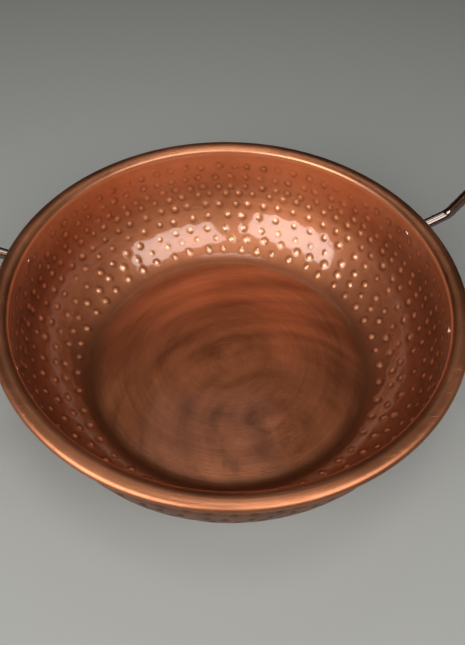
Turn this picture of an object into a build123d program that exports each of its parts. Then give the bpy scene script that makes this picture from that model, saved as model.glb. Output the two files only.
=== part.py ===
from build123d import *
from math import atan2, cos, degrees, pi, radians, sin, sqrt
import os

os.makedirs("parts", exist_ok=True)

# Frame: millimetres, +Z up, origin at the centre of the flat base underside.
# The two handles lie on -X (left) and +X (right), and the front is -Y.

# Sheet copper bowl: a flat base, a cove, and one long curve up to the belly
bowl_height = 120.0
lip_radius = 200.0
sheet = 1.5
base_radius = 128.2
cove_radius = 34.0
cove_slope = 32.0
body_radius = 88.0

# Lip: a bend out of the wall, a sloping flange, and a curl closed over the rim wire
wire_radius = 2.5
curl_radius = wire_radius + sheet
bend_radius = 4.0
bend_centre_radius = 189.0
bend_drop = 5.0
curl_sweep = 268.0

# Handles: one bent rod each side
rod_radius = 5.0
foot_x = 178.7
foot_y = 59.0
foot_z = 100.7
elbow_x = 217.8
elbow_y = 66.0
elbow_z = 116.0
grip_x = 245.0
grip_z = 168.0
elbow_bend = 14.0
grip_bend = 26.0

# Handle feet: a curved oval plate with a collar, and the rod's riveted-over end
plate_thickness = 3.0
plate_width = 26.0
plate_height = 17.0
collar_radius = 7.0
collar_length = 2.5
tenon_radius = 3.0
peen_radius = 4.5
peen_height = 0.9
reach = 14.0

# Section geometry worked out from the sizes above
slope = radians(cove_slope)
cove_centre = (base_radius, sheet + cove_radius)
body_step = body_radius - cove_radius
body_centre = (cove_centre[0] - body_step * sin(slope), cove_centre[1] + body_step * cos(slope))
belly_radius = body_centre[0] + body_radius
belly_z = body_centre[1]
bend_centre = (bend_centre_radius, bowl_height - bend_drop)
curl_centre = (lip_radius - curl_radius, bowl_height - curl_radius)
flange_slope = atan2(curl_centre[1] - bend_centre[1], curl_centre[0] - bend_centre[0])

# The wall arc leaves the belly upright and runs tangent into the lip bend
bend_dx = bend_centre[0] - belly_radius
bend_dz = bend_centre[1] - belly_z
wall_radius = (bend_dx ** 2 + bend_dz ** 2 - bend_radius ** 2) / (2 * (bend_radius - bend_dx))
wall_centre = (belly_radius - wall_radius, belly_z)
wall_angle = degrees(atan2(bend_dz, bend_centre[0] - wall_centre[0]))


def arc(centre, radius, start, sweep):
    return CenterArc((centre[0], centre[1], 0), radius, start, sweep)


def turned(face):
    return revolve(Plane.XZ * face, axis=Axis.Z)


def section_side(offset):
    # One face of the sheet from the base to the lip, offset outwards from the inside face
    cove = arc(cove_centre, cove_radius + offset, -90, cove_slope)
    body = arc(body_centre, body_radius + offset, cove_slope - 90, 90 - cove_slope)
    wall = arc(wall_centre, wall_radius + offset, 0, wall_angle)
    top = 90 + degrees(flange_slope)
    bend = arc(bend_centre, bend_radius - offset, 180 + wall_angle, top - 180 - wall_angle)
    curl = arc(curl_centre, curl_radius - offset, top, -curl_sweep)
    base = Line((0, sheet - offset), cove @ 0)
    flange = Line(bend @ 1, curl @ 0)
    return [base, cove, body, wall, bend, flange, curl]


def bowl_solid():
    inside = section_side(0)
    outside = section_side(sheet)
    ends = [Line(inside[0] @ 0, outside[0] @ 0), Line(inside[-1] @ 1, outside[-1] @ 1)]
    edges = inside + outside + ends
    return turned(make_face(edges))


def wall_turn_at(rise):
    # How far round the wall arc a point lies that is this far above the belly
    return degrees(atan2(rise, sqrt(wall_radius ** 2 - rise ** 2)))


def wall_layer(inner, outer):
    # A band of the upper wall between two distances outwards from its inside face
    bottom = wall_turn_at(foot_z - plate_height - belly_z)
    arcs = [arc(wall_centre, wall_radius + inner, bottom, wall_angle - bottom)]
    arcs.append(arc(wall_centre, wall_radius + outer, bottom, wall_angle - bottom))
    ends = [Line(arcs[0] @ 0, arcs[1] @ 0), Line(arcs[0] @ 1, arcs[1] @ 1)]
    return turned(make_face(arcs + ends))


def leg_plane(side, end):
    # Stands on the wall where the rod meets it, and looks out along the rod
    direction = (side * (elbow_x - foot_x), end * (elbow_y - foot_y), elbow_z - foot_z)
    return Plane(origin=(side * foot_x, end * foot_y, foot_z), z_dir=direction)


def wall_plane(side, end):
    # At the same spot, square to the wall, with its own X running level
    out = Vector(side * foot_x, end * foot_y, 0).normalized()
    level = Vector(-out.Y, out.X, 0)
    return Plane(origin=(side * foot_x, end * foot_y, foot_z), x_dir=level, z_dir=out)


def round_bar(plane, radius, start, length):
    return extrude(plane.offset(start) * Circle(radius), length)


def rod_path(side):
    low = [(side * foot_x, -foot_y, foot_z), (side * elbow_x, -elbow_y, elbow_z)]
    top = [(side * grip_x, -elbow_y, grip_z), (side * grip_x, elbow_y, grip_z)]
    high = [(side * elbow_x, elbow_y, elbow_z), (side * foot_x, foot_y, foot_z)]
    points = [Vector(*point) for point in low + top + high]
    bends = [elbow_bend, grip_bend, grip_bend, elbow_bend]
    path = []
    last = points[0]
    for corner in range(1, 5):
        before = (points[corner - 1] - points[corner]).normalized()
        after = (points[corner + 1] - points[corner]).normalized()
        half = before.get_angle(after) * pi / 360
        radius = bends[corner - 1]
        trim = radius / (sin(half) / cos(half))
        start = points[corner] + before * trim
        finish = points[corner] + after * trim
        middle = points[corner] + (before + after).normalized() * (radius / sin(half) - radius)
        path.append(Line(last, start))
        path.append(ThreePointArc(start, middle, finish))
        last = finish
    path.append(Line(last, points[5]))
    return Wire(path)


def bent_rod(side):
    path = rod_path(side)
    return sweep(leg_plane(side, -1) * Circle(rod_radius), path=path)


def handle(side):
    rod = bent_rod(side) - wall_layer(-reach, sheet + plate_thickness)
    for end in (-1, 1):
        plane = leg_plane(side, end)
        tenon = round_bar(plane, tenon_radius, -reach, 2 * reach) & wall_layer(0, sheet + plate_thickness)
        peen = round_bar(plane, peen_radius, -reach, reach) & wall_layer(-peen_height, 0)
        rod = rod + tenon + peen
    return rod


def handle_foot(side, end):
    plane = wall_plane(side, end)
    oval = plane.offset(-reach) * Ellipse(plate_width / 2, plate_height / 2)
    plate = extrude(oval, 3 * reach) & wall_layer(sheet, sheet + plate_thickness)
    collar = round_bar(leg_plane(side, end), collar_radius, -reach, reach + plate_thickness + collar_length)
    collar = collar - wall_layer(-2 * reach, sheet + plate_thickness / 2)
    foot = plate + collar
    wall_and_plate = wall_layer(-2 * reach, sheet + plate_thickness)
    bore = round_bar(leg_plane(side, end), rod_radius, 0, 3 * reach) - wall_and_plate
    tenon_hole = round_bar(leg_plane(side, end), tenon_radius, -reach, 3 * reach)
    return foot - bore - tenon_hole


def rim_wire():
    section = Pos(curl_centre[0], curl_centre[1]) * Circle(wire_radius)
    return turned(section)


def bowl_shell():
    shell = bowl_solid()
    for side in (-1, 1):
        for end in (-1, 1):
            shell = shell - round_bar(leg_plane(side, end), tenon_radius, -reach, 2 * reach)
    return shell


def save(shape, name):
    export_step(shape, "parts/" + name + ".step")


save(bowl_shell(), "bowl_shell")
save(rim_wire(), "rim_wire")
for side, side_name in ((-1, "left"), (1, "right")):
    save(handle(side), side_name + "_handle")
    for end, end_name in ((-1, "front"), (1, "back")):
        save(handle_foot(side, end), side_name + "_handle_" + end_name + "_foot")
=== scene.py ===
import random
from math import atan2, cos, exp, hypot, pi, radians, sin, sqrt

import bmesh
import bpy
from mathutils import Matrix, Vector, noise


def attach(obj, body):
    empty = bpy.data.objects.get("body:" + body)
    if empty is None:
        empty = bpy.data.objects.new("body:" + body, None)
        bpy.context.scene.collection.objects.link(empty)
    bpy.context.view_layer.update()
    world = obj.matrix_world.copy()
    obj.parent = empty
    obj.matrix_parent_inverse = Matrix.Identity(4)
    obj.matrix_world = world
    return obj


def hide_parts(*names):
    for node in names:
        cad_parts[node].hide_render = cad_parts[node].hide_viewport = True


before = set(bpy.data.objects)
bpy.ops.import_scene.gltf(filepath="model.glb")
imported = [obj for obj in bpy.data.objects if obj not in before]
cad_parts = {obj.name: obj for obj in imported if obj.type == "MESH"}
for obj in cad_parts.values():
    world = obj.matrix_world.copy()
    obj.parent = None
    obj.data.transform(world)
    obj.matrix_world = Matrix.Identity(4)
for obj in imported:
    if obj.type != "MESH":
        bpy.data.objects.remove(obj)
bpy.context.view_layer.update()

# ---------------------------------------------------------------------------
# The bowl. One sheet of copper, raised over a stake from a flat disc, so the
# wall keeps one thickness all the way up. Its lip is bent out into a smooth,
# slightly crowned flange and curled over a wire. All of it turns round the upright axis.

sheet = 0.0015
bowl_height = 0.120
lip_radius = 0.200
floor_radius = 0.1282
cove_radius = 0.034
cove_turn = radians(32)
body_radius = 0.088
bend_radius = 0.004
bend_from_axis = 0.189
crown_radius = 0.012
curl_rise = 0.001
curl_radius = 0.004
curl_turn = radians(242)
columns_round = 576
weld = 0.000002

cove_centre = (floor_radius, sheet + cove_radius)
body_step = body_radius - cove_radius
body_centre = (
    cove_centre[0] - body_step * sin(cove_turn),
    cove_centre[1] + body_step * cos(cove_turn),
)
lip_run = lip_radius - curl_radius - bend_from_axis
lip_chord = hypot(lip_run, curl_rise)
crown_drop = sqrt((crown_radius - bend_radius) ** 2 - lip_chord**2 / 4)
crown_centre = (
    bend_from_axis + lip_run / 2 + crown_drop * curl_rise / lip_chord,
    bowl_height - crown_radius,
)
bend_height = crown_centre[1] + crown_drop * lip_run / lip_chord - curl_rise / 2
bend_centre = (bend_from_axis, bend_height)
curl_centre = (lip_radius - curl_radius, bend_height + curl_rise)
crown_start = atan2(bend_centre[1] - crown_centre[1], bend_centre[0] - crown_centre[0])
crown_end = atan2(curl_centre[1] - crown_centre[1], curl_centre[0] - crown_centre[0])
bend_in = bend_centre[0] - body_centre[0] - body_radius
bend_up = bend_centre[1] - body_centre[1]
wall_radius = (bend_in**2 + bend_up**2 - bend_radius**2) / (2 * (bend_radius - bend_in))
wall_centre = (body_centre[0] + body_radius - wall_radius, body_centre[1])
wall_turn = atan2(bend_up, bend_centre[0] - wall_centre[0])


def carry_straight(bm, vert, step, times):
    for _ in range(times):
        grown = bmesh.ops.extrude_vert_indiv(bm, verts=[vert])
        vert = grown["verts"][0]
        bmesh.ops.translate(bm, verts=[vert], vec=(step[0], 0, step[1]))
    return vert


def carry_round(bm, vert, centre, turn, steps):
    swept = bmesh.ops.spin(
        bm, geom=[vert], cent=(centre[0], 0, centre[1]), axis=(0, 1, 0), angle=turn, steps=steps
    )
    return [part for part in swept["geom_last"] if isinstance(part, bmesh.types.BMVert)][0]


def bowl_section(bm):
    # The inside face of the sheet, from the middle of the floor to the end of the curl
    vert = bmesh.ops.create_vert(bm, co=(0, 0, sheet))["vert"][0]
    vert = carry_straight(bm, vert, (floor_radius / 4, 0), 4)
    vert = carry_round(bm, vert, cove_centre, -cove_turn, 7)
    vert = carry_round(bm, vert, body_centre, cove_turn - pi / 2, 43)
    vert = carry_round(bm, vert, wall_centre, -wall_turn, 13)
    vert = carry_round(bm, vert, bend_centre, pi + wall_turn - crown_start, 3)
    vert = carry_round(bm, vert, crown_centre, crown_start - crown_end, 6)
    return carry_round(bm, vert, curl_centre, curl_turn, 9)


def mark_run(bm, layer):
    # How far up the sheet each vertex lies, from the edge of the flat floor
    first = min(bm.verts, key=lambda v: v.co.x)
    chain = [first]
    seen = {first}
    while True:
        ahead = [e.other_vert(chain[-1]) for e in chain[-1].link_edges]
        ahead = [v for v in ahead if v not in seen]
        if not ahead:
            break
        chain.append(ahead[0])
        seen.add(ahead[0])
    run = -floor_radius
    section = [(run, first.co.x, first.co.z)]
    first[layer] = run
    for before, after in zip(chain, chain[1:]):
        run += (after.co - before.co).length
        after[layer] = run
        section.append((run, after.co.x, after.co.z))
    return section


# Hammer marks in rings: height of the ring up the sheet, marks in it, strength
mark_rings = (
    (0.0231, 48, 1.00),
    (0.0355, 52, 1.00),
    (0.0470, 52, 1.00),
    (0.0613, 56, 0.95),
    (0.0747, 66, 1.00),
    (0.0878, 72, 1.00),
    (0.0969, 74, 1.00),
    (0.1090, 72, 1.00),
    (0.1236, 70, 0.70),
)
mark_height = 0.00105
mark_spread = 0.00168
gather_reach = 0.0068
gather_share = 0.45
dent_spread = 0.0027
dent_depth = 0.00075
hammered_from = 0.012
hammered_to = 0.136
shelf_slices = 120
place_jitter = 0.0009
ring_drift = 0.0011
turn_jitter = 0.13


def scatter_marks():
    hand = random.Random(41)
    marks = []
    for ring, (run, count, strength) in enumerate(mark_rings):
        start = hand.uniform(0, 2 * pi / count)
        for number in range(count):
            angle = start + 2 * pi * (number + hand.uniform(-turn_jitter, turn_jitter)) / count
            drift = ring_drift * noise.noise((cos(angle) * 3, sin(angle) * 3, ring * 1.7))
            place = run + drift + hand.uniform(-place_jitter, place_jitter)
            size = strength * hand.uniform(0.72, 1.18)
            marks.append((ring, angle, place, size, mark_spread * hand.uniform(0.88, 1.14)))
    return marks


def near_marks(marks):
    # Marks filed by ring and by slice of the turn, so that each vertex looks at a few
    slices = shelf_slices
    shelf = {}
    for mark in marks:
        key = int((mark[1] % (2 * pi)) / (2 * pi) * slices)
        for side in (-2, -1, 0, 1, 2):
            shelf.setdefault((key + side) % slices, []).append(mark)
    return slices, shelf


def on_section(section, run):
    low, high = 0, len(section) - 1
    while high - low > 1:
        middle = (low + high) // 2
        if section[middle][0] <= run:
            low = middle
        else:
            high = middle
    share = (run - section[low][0]) / (section[high][0] - section[low][0])
    radius = section[low][1] + share * (section[high][1] - section[low][1])
    height = section[low][2] + share * (section[high][2] - section[low][2])
    return radius, height


def hammer(bm, section, run_layer, dome_layer, dent_layer):
    # Each blow from outside leaves a small round rise inside and a dent outside
    slices, shelf = near_marks(scatter_marks())
    bm.normal_update()
    moves = []
    for vert in bm.verts:
        run = vert[run_layer]
        if run < hammered_from or run > hammered_to:
            continue
        angle = atan2(vert.co.y, vert.co.x)
        radius = hypot(vert.co.x, vert.co.y)
        best = None
        for mark in shelf.get(int((angle % (2 * pi)) / (2 * pi) * slices), ()):
            across = ((angle - mark[1] + pi) % (2 * pi) - pi) * radius
            along = run - mark[2]
            distance = hypot(across, along)
            if best is None or distance < best[0]:
                best = (distance, across, along, mark)
        if best is None:
            continue
        distance, across, along, mark = best
        pull = 1.0
        if distance < gather_reach:
            pull = gather_share + (1 - gather_share) * distance / gather_reach
        new_angle = mark[1] + across * pull / radius
        new_run = mark[2] + along * pull
        distance *= pull
        rise = mark[3] * exp(-0.5 * (distance / mark[4]) ** 2)
        dent = mark[3] * exp(-0.5 * (distance / dent_spread) ** 2)
        moves.append((vert, new_angle, new_run, rise, dent))
    for vert, angle, run, rise, dent in moves:
        radius, height = on_section(section, run)
        turned = (angle - atan2(vert.co.y, vert.co.x) + pi) % (2 * pi) - pi
        normal = Matrix.Rotation(turned, 3, "Z") @ vert.normal
        spot = Vector((radius * cos(angle), radius * sin(angle), height))
        vert.co = spot + normal * (mark_height * rise)
        vert[run_layer] = run
        vert[dome_layer] = rise
        vert[dent_layer] = dent


wander = 0.00034
wander_end = 0.14
wander_fade_low = 0.02
wander_fade_high = 0.012


def planish(bm, run_layer):
    # Raised by eye, so the wall wanders a little from a true turned shape
    for vert in bm.verts:
        run = vert[run_layer]
        if run < 0 or run > wander_end:
            continue
        fade = min(1, run / wander_fade_low, (wander_end - run) / wander_fade_high)
        out = Vector((vert.co.x, vert.co.y, 0)).normalized()
        lump = noise.noise(vert.co * 26) + 0.5 * noise.noise(vert.co * 61)
        vert.co -= out * (wander * fade * (lump + 0.6))


def bowl_mesh():
    bm = bmesh.new()
    run_layer = bm.verts.layers.float.new("run")
    dome_layer = bm.verts.layers.float.new("dome")
    dent_layer = bm.verts.layers.float.new("dent")
    outside_layer = bm.verts.layers.float.new("outside")
    bowl_section(bm)
    section = mark_run(bm, run_layer)
    bmesh.ops.spin(
        bm,
        geom=bm.verts[:] + bm.edges[:],
        cent=(0, 0, 0),
        axis=(0, 0, 1),
        angle=2 * pi,
        steps=columns_round,
        use_merge=True,
    )
    bmesh.ops.remove_doubles(bm, verts=bm.verts, dist=weld)
    bmesh.ops.recalc_face_normals(bm, faces=bm.faces)
    floor_face = min(bm.faces, key=lambda f: f.calc_center_median().xy.length)
    if floor_face.normal.z < 0:
        bmesh.ops.reverse_faces(bm, faces=bm.faces)
    hammer(bm, section, run_layer, dome_layer, dent_layer)
    planish(bm, run_layer)
    bm.normal_update()
    inner = set(bm.verts)
    bmesh.ops.solidify(bm, geom=bm.faces[:], thickness=sheet)
    bm.normal_update()
    for vert in bm.verts:
        if vert not in inner:
            vert[outside_layer] = 1.0
            vert.co -= vert.normal * (dent_depth * vert[dent_layer])
    for face in bm.faces:
        face.smooth = True
    mesh = bpy.data.meshes.new("hammered_bowl")
    bm.to_mesh(mesh)
    bm.free()
    return mesh


def show(name, mesh):
    piece = bpy.data.objects.new(name, mesh)
    bpy.context.scene.collection.objects.link(piece)
    return piece


def place(tree, kind, **settings):
    made = tree.nodes.new(kind)
    for name, value in settings.items():
        setattr(made, name, value)
    return made


def feed(tree, source, target):
    tree.links.new(source, target)


def sums(tree, operation, first, second=None):
    # A Math node between sockets or plain numbers
    made = place(tree, "ShaderNodeMath", operation=operation)
    for number, value in enumerate((first, second)):
        if value is None:
            continue
        if isinstance(value, (int, float)):
            made.inputs[number].default_value = value
        else:
            feed(tree, value, made.inputs[number])
    return made.outputs[0]


def times(tree, first, *others):
    for other in others:
        first = sums(tree, "MULTIPLY", first, other)
    return first


def spread(tree, value, low, high, out_low=0.0, out_high=1.0):
    # A Map Range node: a value from low to high becomes out_low to out_high
    made = place(tree, "ShaderNodeMapRange")
    feed(tree, value, made.inputs[0])
    for number, amount in enumerate((low, high, out_low, out_high)):
        made.inputs[number + 1].default_value = amount
    return made.outputs[0]


def blend_colours(tree, share, first, second, way="MIX"):
    made = place(tree, "ShaderNodeMix", data_type="RGBA", blend_type=way)
    for number, value in ((0, share), (6, first), (7, second)):
        if isinstance(value, (int, float)):
            made.inputs[number].default_value = value
        elif isinstance(value, tuple):
            made.inputs[number].default_value = (*value, 1)
        else:
            feed(tree, value, made.inputs[number])
    return made.outputs[2]


def clouds(tree, where, scale, detail=4.0, rough=0.55):
    made = place(tree, "ShaderNodeTexNoise")
    feed(tree, where, made.inputs["Vector"])
    made.inputs["Scale"].default_value = scale
    made.inputs["Detail"].default_value = detail
    made.inputs["Roughness"].default_value = rough
    return made.outputs["Fac"]


def new_group(name, inputs, outputs):
    tree = bpy.data.node_groups.new(name, "ShaderNodeTree")
    for label, kind, value in inputs:
        socket = tree.interface.new_socket(label, in_out="INPUT", socket_type=kind)
        if value is not None:
            socket.default_value = value
    for label, kind in outputs:
        tree.interface.new_socket(label, in_out="OUTPUT", socket_type=kind)
    return tree, place(tree, "NodeGroupInput").outputs, place(tree, "NodeGroupOutput").inputs


def use_group(tree, group, **values):
    made = place(tree, "ShaderNodeGroup")
    made.node_tree = group
    for name, value in values.items():
        socket = made.inputs[name]
        if isinstance(value, (int, float)):
            socket.default_value = value
        else:
            feed(tree, value, socket)
    return made.outputs


def buffing_group():
    # Short curved strokes of a polishing cloth, in overlapping rounds of no fixed centre
    tree, given, sent = new_group(
        "buffing_rounds",
        (
            ("Where", "NodeSocketVector", None),
            ("Patch", "NodeSocketFloat", 14.0),
            ("Fineness", "NodeSocketFloat", 900.0),
        ),
        (("Strokes", "NodeSocketFloat"), ("Patches", "NodeSocketFloat")),
    )
    warp = place(tree, "ShaderNodeTexNoise")
    feed(tree, given["Where"], warp.inputs["Vector"])
    warp.inputs["Scale"].default_value = 9
    bent = place(tree, "ShaderNodeVectorMath", operation="MULTIPLY_ADD")
    feed(tree, warp.outputs["Color"], bent.inputs[0])
    bent.inputs[1].default_value = (0.03, 0.03, 0.03)
    feed(tree, given["Where"], bent.inputs[2])
    cells = place(tree, "ShaderNodeTexVoronoi", feature="SMOOTH_F1")
    feed(tree, bent.outputs[0], cells.inputs["Vector"])
    feed(tree, given["Patch"], cells.inputs["Scale"])
    cells.inputs["Smoothness"].default_value = 0.25
    away = cells.outputs["Distance"]
    pitch = place(tree, "ShaderNodeCombineXYZ")
    feed(tree, times(tree, away, given["Fineness"]), pitch.inputs[0])
    fine = place(tree, "ShaderNodeTexNoise")
    fine.inputs["Scale"].default_value = 0.09
    fine.inputs["Detail"].default_value = 3
    feed(tree, pitch.outputs[0], fine.inputs["Vector"])
    broken = clouds(tree, given["Where"], 60, 3)
    lines = spread(tree, fine.outputs["Fac"], 0.42, 0.66)
    gaps = spread(tree, broken, 0.38, 0.62)
    feed(tree, times(tree, lines, gaps), sent["Strokes"])
    feed(tree, spread(tree, away, 0.1, 0.8), sent["Patches"])
    return tree


def turned_group():
    # Strokes that run round the upright axis, as sandpaper leaves them on spun work
    tree, given, sent = new_group(
        "turned_strokes",
        (
            ("Where", "NodeSocketVector", None),
            ("Fineness", "NodeSocketFloat", 300.0),
            ("Breaks", "NodeSocketFloat", 2.0),
        ),
        (("Strokes", "NodeSocketFloat"),),
    )
    level = place(tree, "ShaderNodeVectorMath", operation="MULTIPLY")
    feed(tree, given["Where"], level.inputs[0])
    level.inputs[1].default_value = (1, 1, 0)
    outward = place(tree, "ShaderNodeVectorMath", operation="NORMALIZE")
    feed(tree, level.outputs[0], outward.inputs[0])
    around = place(tree, "ShaderNodeVectorMath", operation="SCALE")
    feed(tree, outward.outputs[0], around.inputs[0])
    feed(tree, given["Breaks"], around.inputs["Scale"])
    length = place(tree, "ShaderNodeVectorMath", operation="LENGTH")
    feed(tree, level.outputs[0], length.inputs[0])
    height = place(tree, "ShaderNodeSeparateXYZ")
    feed(tree, given["Where"], height.inputs[0])
    climb = sums(tree, "ADD", length.outputs["Value"], height.outputs[2])
    climb = times(tree, climb, given["Fineness"])
    stack = place(tree, "ShaderNodeCombineXYZ")
    feed(tree, climb, stack.inputs[2])
    joined = place(tree, "ShaderNodeVectorMath", operation="ADD")
    feed(tree, around.outputs[0], joined.inputs[0])
    feed(tree, stack.outputs[0], joined.inputs[1])
    streaks = clouds(tree, joined.outputs[0], 1.0, 3, 0.5)
    feed(tree, spread(tree, streaks, 0.30, 0.70), sent["Strokes"])
    return tree


def scratch_group():
    # Fine straight scratches from use, lying any way
    tree, given, sent = new_group(
        "use_scratches",
        (("Where", "NodeSocketVector", None), ("Size", "NodeSocketFloat", 60.0)),
        (("Lines", "NodeSocketFloat"),),
    )
    total = None
    for turn, shift in ((0.3, 0.0), (1.25, 3.1), (2.2, 6.7)):
        turned = place(tree, "ShaderNodeMapping")
        feed(tree, given["Where"], turned.inputs["Vector"])
        turned.inputs["Rotation"].default_value = (turn * 0.7, turn * 0.4, turn)
        turned.inputs["Location"].default_value = (shift, shift, shift)
        turned.inputs["Scale"].default_value = (1, 22, 22)
        grain = place(tree, "ShaderNodeTexNoise")
        feed(tree, turned.outputs[0], grain.inputs["Vector"])
        feed(tree, given["Size"], grain.inputs["Scale"])
        grain.inputs["Detail"].default_value = 2
        lines = spread(tree, grain.outputs["Fac"], 0.66, 0.72)
        total = lines if total is None else sums(tree, "MAXIMUM", total, lines)
    feed(tree, total, sent["Lines"])
    return tree


buffing_rounds = buffing_group()
turned_strokes = turned_group()
use_scratches = scratch_group()


def copper_finish():
    finish = bpy.data.materials.new("old_copper")
    finish.use_nodes = True
    tree = finish.node_tree
    metal = tree.nodes["Principled BSDF"]
    metal.inputs["Metallic"].default_value = 1.0
    metal.inputs["Coat Roughness"].default_value = 0.09
    metal.inputs["Coat IOR"].default_value = 1.6
    where = place(tree, "ShaderNodeTexCoord").outputs["Object"]
    run = place(tree, "ShaderNodeAttribute", attribute_name="run").outputs["Fac"]
    dome = place(tree, "ShaderNodeAttribute", attribute_name="dome").outputs["Fac"]
    dent = place(tree, "ShaderNodeAttribute", attribute_name="dent").outputs["Fac"]
    outside = place(tree, "ShaderNodeAttribute", attribute_name="outside").outputs["Fac"]
    off_centre = place(tree, "ShaderNodeMapping")
    feed(tree, where, off_centre.inputs["Vector"])
    off_centre.inputs["Location"].default_value = (-0.030, 0.085, 0)

    fine = use_group(tree, turned_strokes, Where=where, Fineness=700.0, Breaks=1.2)["Strokes"]
    arcs = use_group(tree, turned_strokes, Where=where, Fineness=40.0, Breaks=0.7)["Strokes"]
    aside = off_centre.outputs[0]
    swings = use_group(tree, turned_strokes, Where=aside, Fineness=46.0, Breaks=0.8)["Strokes"]
    buffed = use_group(tree, buffing_rounds, Where=where, Patch=15.0, Fineness=1500.0)["Strokes"]
    scratched = use_group(tree, use_scratches, Where=where, Size=34.0)["Lines"]
    broad = clouds(tree, where, 11, 5)
    small = clouds(tree, where, 75, 5, 0.6)
    broad_share = spread(tree, broad, 0.3, 0.7)
    flat = spread(tree, run, 0.010, -0.003)
    hammered = times(tree, spread(tree, run, -0.002, 0.008), spread(tree, run, 0.134, 0.100))
    lip = spread(tree, run, 0.139, 0.143)
    across = place(tree, "ShaderNodeSeparateXYZ")
    feed(tree, where, across.inputs[0])
    depth = across.outputs[1]

    # Rubbed copper with brown left in the marks and round the floor
    tone = blend_colours(tree, broad_share, (0.74, 0.325, 0.150), (0.84, 0.410, 0.210))
    brown_share = spread(tree, broad, 0.25, 0.75)
    darkened = blend_colours(tree, brown_share, (0.200, 0.066, 0.029), (0.38, 0.138, 0.064))
    tone = blend_colours(tree, times(tree, hammered, 0.9), tone, darkened)
    tone = blend_colours(tree, spread(tree, small, 0.40, 0.75, 0, 0.35), tone, (0.27, 0.105, 0.055))

    # Set from one side: the front and sides browner, the upper back brighter.
    # Part of this is the metal's own tone and part is painted light: painted shade on the front and
    # sides, a painted highlight on the upper back; without it the bowl is even.
    front_painted_shade = spread(tree, depth, 0.105, 0.020)
    tone = blend_colours(tree, times(tree, front_painted_shade, 0.42), tone, (0.115, 0.036, 0.014))
    back_painted_highlight = times(tree, spread(tree, depth, 0.055, 0.135), spread(tree, run, 0.055, 0.105))
    tone = blend_colours(tree, times(tree, back_painted_highlight, 0.5), tone, (0.74, 0.280, 0.115))
    # Painted shade in the cove where the wall meets the floor, strongest at the front and sides.
    cove_shade_share = spread(tree, front_painted_shade, 0, 1, 0.55, 0.92)
    cove_painted_shade = times(tree, spread(tree, run, 0.024, 0.004), cove_shade_share)
    tone = blend_colours(tree, cove_painted_shade, tone, (0.060, 0.020, 0.008))

    # The flat bottom, with the strokes of the cloth round two centres
    strokes = times(tree, sums(tree, "ADD", arcs, swings), 0.5)
    bottom = blend_colours(tree, strokes, (0.095, 0.029, 0.012), (0.46, 0.158, 0.068))
    stained = spread(tree, broad, 0.35, 0.7, 0, 0.5)
    bottom = blend_colours(tree, stained, bottom, (0.20, 0.066, 0.028))
    bottom = blend_colours(tree, times(tree, fine, swings, 0.35), bottom, (0.54, 0.205, 0.095))
    tone = blend_colours(tree, times(tree, flat, 0.92), tone, bottom)

    # Brown lies round the foot of each rise, and its top is rubbed bright
    skirt = times(tree, spread(tree, dome, 0.01, 0.06), spread(tree, dome, 0.42, 0.16))
    skirt = times(tree, skirt, spread(tree, small, 0.42, 0.62, 0.05, 0.45))
    tone = blend_colours(tree, skirt, tone, (0.085, 0.028, 0.013))
    tone = blend_colours(tree, spread(tree, dome, 0.22, 0.90, 0, 0.85), tone, (0.88, 0.43, 0.22))

    # The lip, and a painted highlight along the bend inside it
    lip_tone = blend_colours(tree, broad_share, (0.24, 0.086, 0.040), (0.44, 0.170, 0.082))
    tone = blend_colours(tree, times(tree, lip, 0.95), tone, lip_tone)
    bend_painted_highlight = times(tree, spread(tree, run, 0.1375, 0.1400), spread(tree, run, 0.1445, 0.1425))
    tone = blend_colours(tree, times(tree, bend_painted_highlight, 0.7), tone, (0.92, 0.50, 0.28))

    # The outside is weathered, and darkest in the dents
    grain = spread(tree, small, 0.3, 0.7)
    weathered = blend_colours(tree, grain, (0.16, 0.068, 0.037), (0.27, 0.125, 0.072))
    in_dent = spread(tree, dent, 0.15, 0.8, 0, 0.75)
    weathered = blend_colours(tree, in_dent, weathered, (0.085, 0.045, 0.030))
    weathered = blend_colours(tree, lip, weathered, tone)
    tone = blend_colours(tree, outside, tone, weathered)
    feed(tree, tone, metal.inputs["Base Color"])

    rough = sums(tree, "ADD", spread(tree, broad, 0.3, 0.7, 0.44, 0.54), times(tree, small, 0.08))
    rough = sums(tree, "SUBTRACT", rough, spread(tree, dome, 0.2, 0.9, 0, 0.08))
    rough = sums(tree, "SUBTRACT", rough, times(tree, lip, 0.12))
    rough = sums(tree, "ADD", rough, times(tree, scratched, 0.08))
    rough = sums(tree, "SUBTRACT", rough, times(tree, arcs, flat, 0.10))
    feed(tree, rough, metal.inputs["Roughness"])
    no_coat = sums(tree, "MAXIMUM", lip, outside)
    no_coat = sums(tree, "MAXIMUM", no_coat, spread(tree, run, 0.024, 0.014))
    feed(tree, spread(tree, no_coat, 0, 1, 0.85, 0.08), metal.inputs["Coat Weight"])

    relief = times(tree, fine, 0.5)
    relief = sums(tree, "ADD", relief, times(tree, buffed, flat))
    relief = sums(tree, "ADD", relief, times(tree, swings, flat))
    relief = sums(tree, "SUBTRACT", relief, times(tree, scratched, 0.5))
    relief = sums(tree, "ADD", relief, times(tree, small, 1.8))
    bump = place(tree, "ShaderNodeBump")
    bump.inputs["Strength"].default_value = 0.35
    bump.inputs["Distance"].default_value = 0.0003
    feed(tree, relief, bump.inputs["Height"])
    feed(tree, bump.outputs[0], metal.inputs["Normal"])
    return finish


bowl = show("hammered_bowl", bowl_mesh())
bowl.data.materials.append(copper_finish())
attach(bowl, "root")
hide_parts("bowl_shell")

# ---------------------------------------------------------------------------
# The rim wire. A ring of round steel wire that the lip is curled over, which
# keeps the thin edge stiff. Only a slit under the curl lets it be seen.


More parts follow.
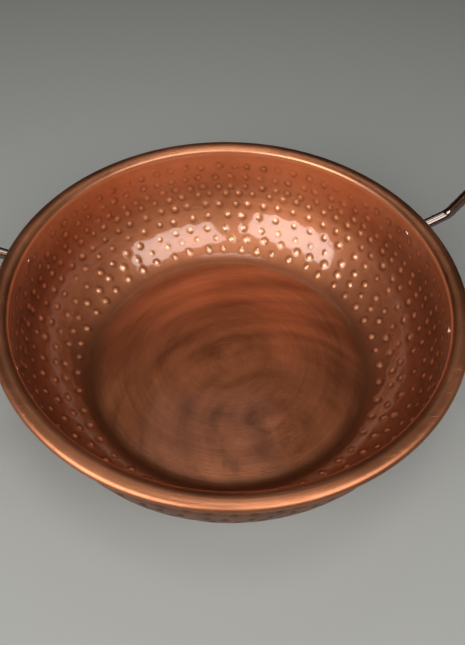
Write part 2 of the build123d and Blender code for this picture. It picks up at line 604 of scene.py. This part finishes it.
def wire_finish():
    finish = bpy.data.materials.new("rim_steel")
    finish.use_nodes = True
    tree = finish.node_tree
    metal = tree.nodes["Principled BSDF"]
    metal.inputs["Metallic"].default_value = 1.0
    where = place(tree, "ShaderNodeTexCoord").outputs["Object"]
    rust = spread(tree, clouds(tree, where, 120, 5, 0.65), 0.42, 0.62)
    tone = blend_colours(tree, rust, (0.34, 0.33, 0.31), (0.15, 0.075, 0.040))
    feed(tree, tone, metal.inputs["Base Color"])
    feed(tree, spread(tree, rust, 0, 1, 0.32, 0.75), metal.inputs["Roughness"])
    bump = place(tree, "ShaderNodeBump")
    bump.inputs["Strength"].default_value = 0.4
    bump.inputs["Distance"].default_value = 0.0002
    feed(tree, sums(tree, "ADD", rust, clouds(tree, where, 600, 3)), bump.inputs["Height"])
    feed(tree, bump.outputs[0], metal.inputs["Normal"])
    return finish


def cover(node, finish):
    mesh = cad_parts[node].data
    mesh.materials.clear()
    mesh.materials.append(finish)


cover("rim_wire", wire_finish())

# ---------------------------------------------------------------------------
# The two handles and their four feet. Each handle is one bent round bar of
# dark bronze; its ends pass through oval plates and the wall, riveted inside.


def bronze_finish(name, gloss, wear):
    finish = bpy.data.materials.new(name)
    finish.use_nodes = True
    tree = finish.node_tree
    metal = tree.nodes["Principled BSDF"]
    metal.inputs["Metallic"].default_value = 1.0
    metal.inputs["Coat Weight"].default_value = 1.0
    metal.inputs["Coat IOR"].default_value = 1.9
    metal.inputs["Coat Roughness"].default_value = 0.05
    where = place(tree, "ShaderNodeTexCoord").outputs["Object"]
    broad = clouds(tree, where, 28, 5)
    small = clouds(tree, where, 190, 5, 0.65)
    scratched = use_group(tree, use_scratches, Where=where, Size=70.0)
    broad_share = spread(tree, broad, 0.3, 0.7)
    tone = blend_colours(tree, broad_share, (0.050, 0.021, 0.012), (0.095, 0.043, 0.025))
    tone = blend_colours(tree, spread(tree, small, 0.56, 0.76, 0, wear), tone, (0.20, 0.095, 0.052))
    tone = blend_colours(tree, spread(tree, small, 0.42, 0.25, 0, 0.6), tone, (0.022, 0.012, 0.009))
    level = place(tree, "ShaderNodeVectorMath", operation="MULTIPLY")
    feed(tree, where, level.inputs[0])
    level.inputs[1].default_value = (1, 1, 0)
    length = place(tree, "ShaderNodeVectorMath", operation="LENGTH")
    feed(tree, level.outputs[0], length.inputs[0])
    inside = spread(tree, length.outputs["Value"], 0.1880, 0.1868)
    tone = blend_colours(tree, times(tree, inside, 0.9), tone, (0.46, 0.215, 0.12))
    feed(tree, tone, metal.inputs["Base Color"])
    rough = spread(tree, broad, 0.3, 0.7, gloss, gloss + 0.10)
    rough = sums(tree, "ADD", rough, times(tree, scratched["Lines"], 0.15))
    rough = sums(tree, "ADD", rough, times(tree, small, 0.10))
    rough = sums(tree, "ADD", rough, times(tree, inside, 0.25))
    feed(tree, rough, metal.inputs["Roughness"])
    bump = place(tree, "ShaderNodeBump")
    bump.inputs["Strength"].default_value = 0.16
    bump.inputs["Distance"].default_value = 0.0004
    relief = sums(tree, "ADD", times(tree, broad, 2.0), times(tree, small, 0.35))
    relief = sums(tree, "SUBTRACT", relief, times(tree, scratched["Lines"], 0.15))
    feed(tree, relief, bump.inputs["Height"])
    feed(tree, bump.outputs[0], metal.inputs["Normal"])
    return finish


rubbed_bronze = bronze_finish("rubbed_bronze", 0.16, 0.35)
cast_bronze = bronze_finish("cast_bronze", 0.26, 0.35)
for side in ("left", "right"):
    cover(side + "_handle", rubbed_bronze)
    for end in ("front", "back"):
        cover(side + "_handle_" + end + "_foot", cast_bronze)

# ---------------------------------------------------------------------------
# The stage: a plain pale floor of paper, four soft lamps and the camera. The
# lamps stand on the side that the camera looks from, so the far wall shines.

floor_half = 1.7
bm = bmesh.new()
bmesh.ops.create_grid(bm, x_segments=2, y_segments=2, size=floor_half)
bmesh.ops.translate(bm, verts=bm.verts, vec=(0, 0, -0.0005))
floor_mesh = bpy.data.meshes.new("studio_floor")
bm.to_mesh(floor_mesh)
bm.free()
floor = show("studio_floor", floor_mesh)
paper = bpy.data.materials.new("pale_paper")
paper.use_nodes = True
paper.node_tree.nodes["Principled BSDF"].inputs["Base Color"].default_value = (0.235, 0.24, 0.23, 1)
paper.node_tree.nodes["Principled BSDF"].inputs["Roughness"].default_value = 0.8
floor_mesh.materials.append(paper)

aim = Vector((0, 0, 0.04))


def lamp(name, azimuth, rise, away, width, height, power, colour):
    data = bpy.data.lights.new(name, "AREA")
    data.shape = "RECTANGLE"
    data.size = width
    data.size_y = height
    data.energy = power
    data.color = colour
    light = bpy.data.objects.new(name, data)
    bpy.context.scene.collection.objects.link(light)
    turn = radians(azimuth)
    lift = radians(rise)
    spot = Vector((cos(turn) * cos(lift), sin(turn) * cos(lift), sin(lift))) * away
    light.location = aim + spot
    light.rotation_euler = (-spot).to_track_quat("-Z", "Y").to_euler()


lamp("window_left", -138, 33, 1.6, 1.35, 1.05, 31, (1.0, 0.98, 0.96))
lamp("window_right", -58, 47, 1.6, 1.25, 0.95, 21, (1.0, 0.98, 0.96))
lamp("overhead", -90, 87, 1.8, 0.5, 0.5, 6.5, (1.0, 0.98, 0.95))
lamp("high_back", 86, 65, 1.7, 0.5, 0.35, 1.5, (1.0, 0.96, 0.92))

bpy.context.scene.view_settings.view_transform = "Standard"
world = bpy.data.worlds.new("soft_room")
bpy.context.scene.world = world
world.use_nodes = True
room = world.node_tree
glow = room.nodes["Background"]
glow.inputs["Color"].default_value = (0.50, 0.50, 0.47, 1)
seen = place(room, "ShaderNodeLightPath").outputs["Is Camera Ray"]
feed(room, spread(room, seen, 0, 1, 0.06, 0.26), glow.inputs["Strength"])

camera_data = bpy.data.cameras.new("camera")
camera_data.sensor_width = 36
camera_data.lens = 32.37
camera = bpy.data.objects.new("camera", camera_data)
bpy.context.scene.collection.objects.link(camera)
camera.location = (-0.04882, -0.33064, 0.48384)
camera.rotation_euler = (radians(38.2705), radians(-1.2626), radians(-7.1755))
bpy.context.scene.camera = camera
